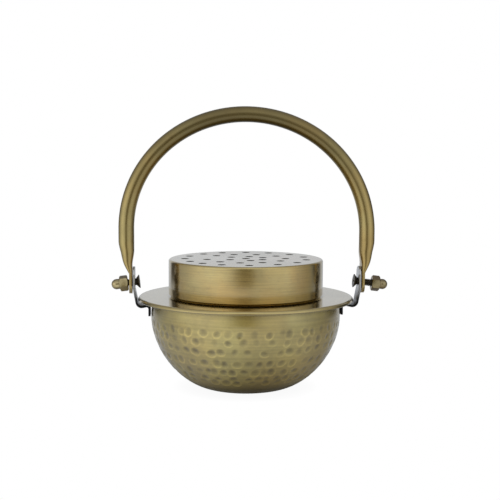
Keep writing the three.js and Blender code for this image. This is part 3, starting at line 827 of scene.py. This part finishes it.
def lid_cap():
    holes = smoke_holes()
    height = LID_TOP - LID_LOW
    under = height - LID_SHEET
    bend = LID_EDGE_RADIUS - LID_SHEET
    flat_edge = LID_RADIUS - LID_EDGE_RADIUS - LID_FLAT_ROOM
    foot = LID_FOOT_RADIUS
    skirt = [
        (flat_edge, under),
        *arc(LID_BORE - bend, under - bend, bend, 90, 0, 4),
        (LID_BORE, height * 0.5),
        *arc(LID_BORE + foot, foot, foot, 180, 270, 3),
        *arc(LID_RADIUS - foot, foot, foot, 270, 360, 3),
        (LID_RADIUS, height * 0.5),
        *arc(LID_RADIUS - LID_EDGE_RADIUS, height - LID_EDGE_RADIUS, LID_EDGE_RADIUS, 0, 90, 10),
        (flat_edge, height),
    ]
    points = list(rings_of(skirt, LID_SIDES).reshape(-1, 3))
    faces = ring_faces(len(skirt), LID_SIDES)
    ring = rings_of([(flat_edge, 0)], LID_SIDES)[0][:, :2]
    lip = HOLE_LIP
    hole_edge = HOLE_RADIUS + lip + HOLE_MARGIN
    for level in (height, under):
        corners, kept = pierced_disc(ring, holes, hole_edge)
        first = len(points)
        points += [(x, y, level) for x, y in corners]
        faces += [tuple(first + i for i in face) for face in kept]
    wall = [
        (hole_edge, height),
        *arc(HOLE_RADIUS + lip, height - lip, lip, 90, 180, 4),
        *arc(HOLE_RADIUS + lip / 2, under + lip / 2, lip / 2, 180, 270, 2),
        (hole_edge, under),
    ]
    angles = turns(HOLE_SIDES)
    for x, y in holes:
        first = len(points)
        for radius, level in wall:
            points += [(x + radius * math.cos(a), y + radius * math.sin(a), level) for a in angles]
        faces += [tuple(first + i for i in face) for face in ring_faces(len(wall), HOLE_SIDES)]
    piece = mesh_piece("lid_cap", np.array(points, float) + (0, 0, LID_LOW), faces, 50)
    # Painted shade inside the smoke holes, each at its own random depth
    chance = random.Random(SEED + 1)
    spots = places_of(piece)
    dark = np.zeros(len(spots))
    for x, y in holes:
        inside = np.hypot(spots[:, 0] - x, spots[:, 1] - y) < HOLE_RADIUS + 1.1 * lip
        dark[inside] = chance.uniform(*HOLE_SHADE)
    return marked(piece, "dark", dark)


dress(lid_cap(), "lid_body", "lid_brass", lid_metal, "lid")


# Fire pan
def pan_dish():
    lip_radius = NECK_RADIUS - BRIM_SHEET - FINGER_ROOM
    top_radius = lip_radius - PAN_LIP
    corner_middle = (top_radius - PAN_TAPER - PAN_CORNER, PAN_CORNER)
    under = PAN_HEIGHT - PAN_SHEET
    half = PAN_SHEET / 2
    bend_middle = (top_radius + PAN_LIP_BEND, under - PAN_LIP_BEND)
    profile = [
        (AXIS_RADIUS, 0),
        (PAN_FLAT_RADIUS, 0),
        *arc(*corner_middle, PAN_CORNER, 270, 360, 10),
        *arc(*bend_middle, PAN_LIP_BEND, 180, 90, 4),
        *arc(lip_radius - half, under + half, half, 270, 450, 6),
        *arc(*bend_middle, PAN_LIP_BEND + PAN_SHEET, 90, 180, 5),
        *arc(*corner_middle, PAN_CORNER - PAN_SHEET, 360, 270, 10),
        (PAN_FLAT_RADIUS, PAN_SHEET),
        (AXIS_RADIUS, PAN_SHEET),
    ]
    return turned("pan_dish", profile, PAN_LOW, 160)


dress(pan_dish(), "fire_pan", "pan_brass", pan_metal, "charcoal_pan")


# Bail: a tube with its ends pressed flat
TUBE_SIDES = 48
CRUSH_STEPS = 26
ARCH_STEPS = 97
# The arch's inside faces a point this high above the pivots, and the arch darkens over this height
SHADE_MIDDLE = 40
SHADE_HEIGHT = 45
# How dark the inside is at first, how much darker it gets, and how dark the top is all round
INSIDE_SHADE = 0.22
INSIDE_GAIN = 0.25
TOP_SHADE = 0.65
# How far the tube runs past the tab's end, and the reach of the block that cuts it off
END_SPARE = 1
END_REACH = 3


def smooth(value, low, high):
    share = min(max((value - low) / (high - low), 0), 1)
    return share * share * (3 - 2 * share)


def tube_ring(thickness, inset):
    """One section of the tube, which keeps its girth as it is pressed flat."""
    girth = 2 * math.pi * (TUBE_RADIUS - TUBE_WALL / 2)
    half = (girth - math.pi * (thickness - TUBE_WALL)) / 4
    angles = turns(TUBE_SIDES)
    reach = thickness / 2 - inset
    flat = half * np.clip(np.sin(angles) * 6, -1, 1)
    return np.cos(angles) * reach, flat + np.sin(angles) * reach


def tab_half_width():
    return tube_ring(TAB_SHEET, 0)[1].max()


def bail_stations():
    """The tube's middle, outward direction and thickness, from the right end over to the left one."""
    crease = NUT_CORNER + NUT_PLACE * math.sin(DROOP) + CREASE_MARGIN
    full = crease + CRUSH_LENGTH
    leg_inside = EAR_INSIDE + LEG_STEP
    half_width = leg_inside + TUBE_RADIUS
    tip = -tab_half_width() - END_SPARE
    opening = np.linspace(crease, full, CRUSH_STEPS)[1:]
    right = []
    for height in [tip, *np.linspace(0, crease, 4), *opening, LEG_HEIGHT]:
        opened = min(max((height - crease) / (full - crease), 0), 1)
        thickness = TAB_SHEET + (2 * TUBE_RADIUS - TAB_SHEET) * (1 - (1 - opened) ** CRUSH_EASE)
        lean = smooth(height, LEAN_START, LEAN_END)
        inside = TAB_INSIDE + (leg_inside - TAB_INSIDE) * lean
        right.append((inside + thickness / 2, PIVOT_HEIGHT + height, 1.0, 0.0, thickness))
    left = [(-x, z, -1.0, 0.0, thickness) for x, z, _, _, thickness in right[::-1]]
    arch = []
    for angle in np.linspace(0, math.pi, ARCH_STEPS)[1:-1]:
        across, up = math.cos(angle), math.sin(angle)
        out = np.array([ARCH_RISE * across, half_width * up + ARCH_LEAN * across])
        out /= np.hypot(*out)
        x = half_width * across - ARCH_LEAN * up
        z = PIVOT_HEIGHT + LEG_HEIGHT + ARCH_RISE * up
        arch.append((x, z, *out, 2 * TUBE_RADIUS))
    return [*right, *arch, *left]


def bail_tube():
    stations = bail_stations()
    points = []
    for inset in (0, TUBE_WALL):
        for x, z, out_x, out_z, thickness in stations:
            across, y = tube_ring(thickness, inset)
            points.append(np.stack([x + out_x * across, y, z + out_z * across], axis=1))
    rings = len(stations)
    inner = rings * TUBE_SIDES
    faces = ring_faces(rings, TUBE_SIDES)
    faces += [tuple(inner + i for i in face) for face in ring_faces(rings, TUBE_SIDES)]
    for ring in (0, rings - 1):
        for side in range(TUBE_SIDES):
            here = ring * TUBE_SIDES + side
            following = ring * TUBE_SIDES + (side + 1) % TUBE_SIDES
            faces.append((here, following, inner + following, inner + here))
    tube = mesh_piece("bail_tube", np.concatenate(points), faces, 40)
    middle = TAB_INSIDE + TAB_SHEET / 2
    # The bore clears the drooping screw out to the tab's outer face
    fall = (middle + TAB_SHEET / 2 - EAR_MIDDLE) * math.tan(DROOP)
    bore = SCREW_RADIUS / math.cos(DROOP) + fall + SEAT_GAP
    for side in (1, -1):
        drilled(tube, bore, side * middle, PIVOT_HEIGHT, 48)
        joined_with(tube, end_cutter(side * middle), "DIFFERENCE")
    finish_shading(tube.data, 40)
    spots = places_of(tube)
    inward = np.array([0, 0, PIVOT_HEIGHT + SHADE_MIDDLE]) - spots
    inward /= np.linalg.norm(inward, axis=1)[:, None]
    facing = np.clip((inward * normals_of(tube)).sum(1), 0, 1)
    high = np.clip((spots[:, 2] - PIVOT_HEIGHT - SHADE_MIDDLE) / SHADE_HEIGHT, 0, 1)
    tube.data.transform(moved(HANDLE_SHIFT, 0, 0))
    return marked(tube, "dark", facing * (INSIDE_SHADE + INSIDE_GAIN * high) + TOP_SHADE * high)


def end_cutter(x):
    """A block with a round bite, which leaves a tab's end round."""
    half = tab_half_width()
    side = half + END_SPARE
    below = -half - END_REACH
    outline = [(side, 0.0), *arc(0, 0, half, 0, -180, 32), (-side, 0.0), (-side, below), (side, below)]
    ends = (x - CUT_REACH, x + CUT_REACH)
    return block("cutter", [(end, y, PIVOT_HEIGHT + z) for end in ends for y, z in outline])


dress(bail_tube(), "bail", "tube_brass", tube_metal, "bail_handle")


# Brackets
# How dark a bracket is, by the distance below the pivot
STRAP_SHADE = [(0, 0), (3, 0.25), (8.5, 0.55), (10.5, 1.4)]
LEAST = 0.05


def way(degrees):
    """A direction in the bracket's plane."""
    return np.array([math.cos(math.radians(degrees)), math.sin(math.radians(degrees))])


def bend(centre, radius, start, end, steps):
    """Places along a bend between two headings, each with its heading."""
    side = -90 if end > start else 90
    places = arc(*centre, radius, start + side, end + side, steps)
    return [(np.array(p), h) for p, h in zip(places, np.linspace(start, end, steps + 1))]


def strap_line(shift):
    """The strap's middle line from the ear's top to the end on the bowl, with its heading.

    Its places are from the pivots' middle, which lies off the bowl's middle by the shift.
    """
    weld = wall_line()[:, 0].max() + SEAT_GAP + STRAP_SHEET / 2 - shift
    fall = way(LEANING)
    climb = way(CLIMBING)
    lean = bend((EAR_MIDDLE - LEAN_RADIUS, -STRAP_HOLE_RADIUS), LEAN_RADIUS, DOWN, LEANING, 6)
    bottom = PIVOT_RISE + BRIM_DROP + HOOK_SPACE + STRAP_SHEET
    hook_height = STRAP_SHEET / 2 + HOOK_RADIUS - bottom
    start_height = hook_height - HOOK_RADIUS * fall[0]
    hook_start = lean[-1][0] + fall * ((start_height - lean[-1][0][1]) / fall[1])
    hook_middle = (hook_start[0] + HOOK_RADIUS * fall[1], hook_height)
    hook = bend(hook_middle, HOOK_RADIUS, LEANING, CLIMBING, 16)
    end = hook[-1][0]
    end = end + climb * ((weld + SHOULDER_RADIUS * (1 + climb[1]) - end[0]) / climb[0])
    centre = (weld + SHOULDER_RADIUS, end[1] + SHOULDER_RADIUS * climb[0])
    shoulder = bend(centre, SHOULDER_RADIUS, CLIMBING, DOWN, 12)
    drops = STRAP_WIDTH / 2 * (1 - np.cos(np.linspace(0.06, math.pi / 2, 14)))
    top = [(np.array([EAR_MIDDLE, EAR_TOP - drop]), DOWN) for drop in drops]
    heights = np.linspace(centre[1] - 0.4, centre[1] - WELD_TAB_DROP, 5)
    tail = [(np.array([weld, height]), DOWN) for height in heights]
    return [*top, *lean, *hook, *shoulder, *tail]


def strap(side, shift):
    half = STRAP_WIDTH / 2
    section = []
    for x, y, start in ((1, 1, 0), (-1, 1, 90), (-1, -1, 180), (1, -1, 270)):
        section += [(x, y, *p) for p in arc(0, 0, STRAP_CORNER, start, start + 90, 3)]
    points = []
    line = strap_line(shift)
    for place, heading in line:
        along = way(heading)
        across = np.array([along[1], -along[0]])
        from_top = EAR_TOP - place[1]
        width = half
        if from_top < half:
            width = math.sqrt(max(half**2 - (half - from_top) ** 2, LEAST))
        for x, y, corner_x, corner_y in section:
            offset = x * (STRAP_SHEET / 2 - STRAP_CORNER) + corner_x
            reach = y * max(width - STRAP_CORNER, LEAST) + corner_y
            spot = place + offset * across
            points.append((spot[0], reach, spot[1]))
    piece = mesh_piece("strap_" + side, points, capped_faces(len(line), len(section)), 50)
    drilled(piece, STRAP_HOLE_RADIUS, EAR_MIDDLE, 0, 40)
    finish_shading(piece.data, 40)
    return marked(piece, "dark", faded(-places_of(piece)[:, 2], STRAP_SHADE))


# Screws and nuts, drawn along X
def screw(side):
    cone_end = HEAD_RIM + HEAD_CONE
    profile = [
        (0, HEAD_FACE_RADIUS),
        (0, HEAD_RADIUS - HEAD_CHAMFER),
        (0.1, HEAD_RADIUS),
        (HEAD_RIM, HEAD_RADIUS),
        (cone_end, SHANK_RADIUS + 0.05),
        (cone_end + HEAD_STANDOFF, SHANK_RADIUS),
    ]
    head = turned_along_x("screw_" + side, profile, 48, 40)
    ends = ((-0.5, 1.0), (CROSS_DEPTH, CROSS_TAPER))
    for turn in (0, math.pi / 2):
        arm = block("arm", [(x, y * size, z * size) for x, size in ends for y, z in CROSS_CORNERS])
        arm.data.transform(Matrix.Rotation(turn, 4, "X"))
        joined_with(head, arm, "DIFFERENCE")
    softened(head, 0.06)
    thread = thread_skin(THREAD_START, HEAD_PLACE + NUT_PLACE + SCREW_GRIP)
    merged = bmesh.new()
    merged.from_mesh(head.data)
    merged.from_mesh(thread.data)
    merged.to_mesh(head.data)
    merged.free()
    bpy.data.objects.remove(thread)
    finish_shading(head.data, 40)
    return head


def thread_skin(start, end):
    """A thread as a closed skin with its turns pressed into it, which runs out before its end."""
    sides = 40
    xs = np.arange(start, end, THREAD_PITCH / 8)
    angles = turns(sides)
    phase = xs[:, None] / THREAD_PITCH + angles[None, :] / (2 * math.pi)
    wave = abs((phase % 1) * 2 - 1)
    fade = np.clip((end - xs) / THREAD_RUN_OUT, 0, 1)[:, None]
    groove = THREAD_DEPTH * np.clip(1.35 * wave - 0.15, 0, 1)
    radius = SCREW_RADIUS - groove - THREAD_TIP_DEPTH * (1 - fade)
    x = np.repeat(xs[:, None], sides, 1)
    points = np.stack([x, radius * np.cos(angles), radius * np.sin(angles)], axis=2)
    return mesh_piece("thread", points.reshape(-1, 3), capped_faces(len(xs), sides), 60)


# Painted shade on a nut, and painted highlights on the left one's sides, by how far its surface faces up
NUT_SHADE = {
    "right": [(-0.9, 0.8), (-0.4, 0.2), (0.4, 0.2), (0.95, 0.8)],
    "left": [(-0.9, 0.6), (-0.4, 0), (0.7, 0), (0.95, 0.5)],
}
LEFT_NUT_HIGHLIGHT = [(0.3, 0.7), (0.6, 0)]


def nut(side):
    flat = NUT_FLATS / 2
    ends = (0, NUT_HEX_LENGTH)
    corners = [(x, NUT_CORNER * math.sin(a), NUT_CORNER * math.cos(a)) for x in ends for a in turns(6)]
    piece = block("nut_" + side, corners)
    if side == "left":
        piece.data.transform(Matrix.Rotation(LEFT_NUT_TURN, 4, "X"))
    wide = NUT_CORNER + 1
    run = NUT_CHAMFER * (wide - flat) / (NUT_CORNER - flat)
    chamfer = [(0, flat), (run, wide), (NUT_HEX_LENGTH - run, wide), (NUT_HEX_LENGTH, flat)]
    joined_with(piece, turned_along_x("cone", chamfer, 96), "INTERSECT")
    softened(piece, 0.1, 12)
    middle, radius = NUT_DOME_PLACE, NUT_DOME_RADIUS
    angles = np.radians(np.linspace(-12, 88, 22))
    round_end = [(middle + radius * math.sin(a), radius * math.cos(a)) for a in angles]
    joined_with(piece, turned_along_x("dome", [*NUT_NECK, *round_end], 64, 50), "UNION")
    bore = SCREW_RADIUS + SEAT_GAP
    joined_with(piece, turned_along_x("bore", [(-1, bore), (NUT_BORE_DEPTH, bore)], 40), "DIFFERENCE")
    finish_shading(piece.data, 40)
    # Painted shade by how the surface faces, and painted highlights on the left nut's sides
    up = normals_of(piece)[:, 2]
    if side == "left":
        marked(piece, "wear_and_highlight", faded(abs(up), LEFT_NUT_HIGHLIGHT))
    return marked(piece, "dark", faded(up, NUT_SHADE[side]))


for side, turn, shift in (("right", 0, HANDLE_SHIFT), ("left", math.pi, -HANDLE_SHIFT)):
    pivot = moved(HANDLE_SHIFT, 0, PIVOT_HEIGHT) @ Matrix.Rotation(turn, 4, "Z")
    slack = pivot @ moved(EAR_MIDDLE, 0, 0) @ Matrix.Rotation(DROOP, 4, "Y")
    bracket = strap(side, shift)
    bracket.data.transform(pivot)
    dress(bracket, "censer_body", "strap_steel", strap_metal, "bracket_" + side)
    bolt = screw(side)
    bolt.data.transform(slack @ moved(-HEAD_PLACE, 0, 0))
    dress(bolt, "censer_body", "screw_steel", screw_metal, "pivot_screw_" + side)
    cap = nut(side)
    cap.data.transform(slack @ moved(NUT_PLACE + SPARE_THREAD[side], 0, 0))
    dress(cap, "censer_body", "nut_brass", nut_metal, "cap_nut_" + side)


# Studio light: a soft box on each side of the camera, a dim gap between them and a dark one behind each
def ramp(tree, value, stops):
    """A level that changes with a value from 0 to 1, through the given stops."""
    made = node(tree, "ValToRGB", {0: value})
    elements = made.color_ramp.elements
    while len(elements) > 1:
        elements.remove(elements[-1])
    elements[0].position = stops[0][0]
    elements[0].color = colour(*[stops[0][1]] * 3)
    for position, level in stops[1:]:
        added = elements.new(position)
        added.color = colour(*[level] * 3)
    return made.outputs[0]


# Degrees from the front, positive to the right, and how bright the studio is there
AROUND = [
    (-180, 0.64), (-160, 0.56), (-147, 0.58), (-138, 0.03), (-127, 0.05), (-118, 0.36), (-92, 0.60),
    (-72, 0.90), (-52, 1.00), (-37, 0.93), (-24, 0.74), (-12, 0.36), (-4, 0.19), (5, 0.20), (15, 0.48),
    (30, 0.68), (61, 0.80), (79, 0.56), (98, 0.37), (110, 0.29), (119, 0.04), (136, 0.03), (146, 0.48),
    (160, 0.46), (180, 0.64),
]
# Height as the sine of the elevation, and how far the light from overhead takes over there
OVERHEAD = [(0.0, 0.0), (0.2, 0.0), (0.35, 0.35), (0.6, 0.9), (0.75, 1.0)]
# How bright the light from overhead is in front of the object and behind it
ABOVE = (0.9, 0.20)
# Brightness of the table near the object, by millimetres out from its middle and by degrees round it
TABLE_OUT = [(0, 0.02), (20, 0.03), (27, 0.08), (34, 0.30), (45, 0.50), (60, 0.64), (80, 0.80), (100, 0.87)]
TABLE_AROUND = [
    (-180, 0.60), (-150, 0.58), (-134, 0.50), (-112, 0.44), (-88, 0.58), (-63, 0.83), (-41, 1.00),
    (-21, 0.91), (5, 0.78), (60, 0.68), (84, 0.47), (110, 0.34), (134, 0.48), (150, 0.58), (180, 0.60),
]
# Metres from the object's middle over which the table takes on the studio's brightness
TABLE_FADE = (0.30, 0.52)
# How far the table lies under the foot in millimetres, and how far and how much the foot shades it
TABLE_DROP = 0.05
FOOT_SHADE_REACH = 8
FOOT_SHADE = 0.94
# The front of the studio is where the camera stands
FRONT = math.radians(3.5)
WARM_LIGHT = colour(1.0, 0.88, 0.55)
WHITE_LIGHT = colour(0.96, 1.0, 1.06)
WHITE = colour(1.0, 1.0, 1.0)


def level_around(tree, x, y, stops):
    """A level that changes with the direction on the ground."""
    angle = maths(tree, "ARCTAN2", x, times(tree, y, -1.0))
    share = ranged(tree, maths(tree, "ADD", angle, FRONT), -math.pi, math.pi, 0.0, 1.0)
    return ramp(tree, share, [((degrees + 180) / 360, level) for degrees, level in stops])


def light_tint(tree, level, back):
    """White where the studio is bright or behind the object, and warm where it is dark in front."""
    bright = ranged(tree, level, 0.1, 0.5, 0.0, 1.0)
    behind = ranged(tree, back, -0.1, 0.4, 0.0, 1.0)
    return blended(tree, maths(tree, "MAXIMUM", bright, behind), WARM_LIGHT, WHITE_LIGHT)


def seen_white(tree, shine, white):
    """White to the camera itself, and lit as the studio is to all else."""
    camera_ray = node(tree, "LightPath").outputs["Is Camera Ray"]
    return node(tree, "MixShader", {0: camera_ray, 1: shine, 2: white}).outputs[0]


def studio():
    world = bpy.data.worlds.new("studio")
    bpy.context.scene.world = world
    world.use_nodes = True
    tree = world.node_tree
    tree.nodes.clear()
    x, y, z = split(tree, node(tree, "TexCoord").outputs["Generated"])
    around = level_around(tree, x, y, AROUND)
    above = ranged(tree, y, -1.0, 1.0, *ABOVE)
    share = ramp(tree, z, OVERHEAD)
    level = node(tree, "Mix", {0: share, 2: around, 3: above}, data_type="FLOAT").outputs[0]
    shine = node(tree, "Background", {0: light_tint(tree, level, y), 1: level}).outputs[0]
    white = node(tree, "Background", {0: WHITE, 1: 1.0}).outputs[0]
    node(tree, "OutputWorld", {0: seen_white(tree, shine, white)})


def floor():
    """A pale table, lit like the studio away from the object and shaded round its foot."""
    sides = 96
    radii = [AXIS_RADIUS, 20, 40, 80, 160, 320, 640, 1300, 3000]
    points = rings_of([(radius, -TABLE_DROP) for radius in radii], sides).reshape(-1, 3)
    piece = mesh_piece("table", points, ring_faces(len(radii), sides))
    material = bpy.data.materials.new("table")
    material.use_nodes = True
    tree = material.node_tree
    tree.nodes.clear()
    place = node(tree, "TexCoord").outputs["Object"]
    x, y, _ = split(tree, place)
    distance = length(tree, place)
    reach = TABLE_OUT[-1][0]
    share_out = ranged(tree, distance, 0.0, reach * MM, 0.0, 1.0)
    level_out = ramp(tree, share_out, [(millimetres / reach, level) for millimetres, level in TABLE_OUT])
    near = times(tree, level_out, level_around(tree, x, y, TABLE_AROUND))
    far = level_around(tree, x, y, AROUND)
    share = ranged(tree, distance, *TABLE_FADE, 0.0, 1.0)
    lit = node(tree, "Mix", {0: share, 2: near, 3: far}, data_type="FLOAT").outputs[0]
    open_share = openness(tree, FOOT_SHADE_REACH)
    back = maths(tree, "DIVIDE", y, distance)
    shine = node(tree, "Emission", {0: light_tint(tree, lit, back), 1: lit}).outputs[0]
    shaded = ranged(tree, open_share, 0.0, 1.0, FOOT_SHADE, 1.0)
    white = node(tree, "Emission", {0: WHITE, 1: shaded}).outputs[0]
    node(tree, "OutputMaterial", {0: seen_white(tree, shine, white)})
    piece.data.materials.append(material)


studio()
floor()


# Camera, at the photograph's angle: lens and sensor in millimetres, place in metres, angles in degrees
SENSOR = 36
LENS = 79.2
CAMERA_PLACE = (-0.0342, -0.5590, 0.1262)
HEADING = 3.716
PITCH = 5.7
ROLL = 0.28
CLIP = (0.01, 20)


def camera():
    made = bpy.data.cameras.new("camera")
    made.sensor_width = SENSOR
    made.lens = LENS
    made.clip_start, made.clip_end = CLIP
    eye = bpy.data.objects.new("camera", made)
    bpy.context.scene.collection.objects.link(eye)
    heading, pitch, roll = [math.radians(angle) for angle in (HEADING, PITCH, ROLL)]
    level = math.cos(pitch)
    forward = Vector((math.sin(heading) * level, math.cos(heading) * level, -math.sin(pitch)))
    right = Vector((math.cos(heading), -math.sin(heading), 0))
    up = right.cross(forward)
    tilted_right = right * math.cos(roll) + up * math.sin(roll)
    tilted_up = up * math.cos(roll) - right * math.sin(roll)
    turn = Matrix((tilted_right, tilted_up, -forward)).transposed().to_4x4()
    eye.matrix_world = Matrix.Translation(CAMERA_PLACE) @ turn
    bpy.context.scene.camera = eye


camera()
bpy.context.scene.view_settings.view_transform = "Standard"

bpy.context.view_layer.update()
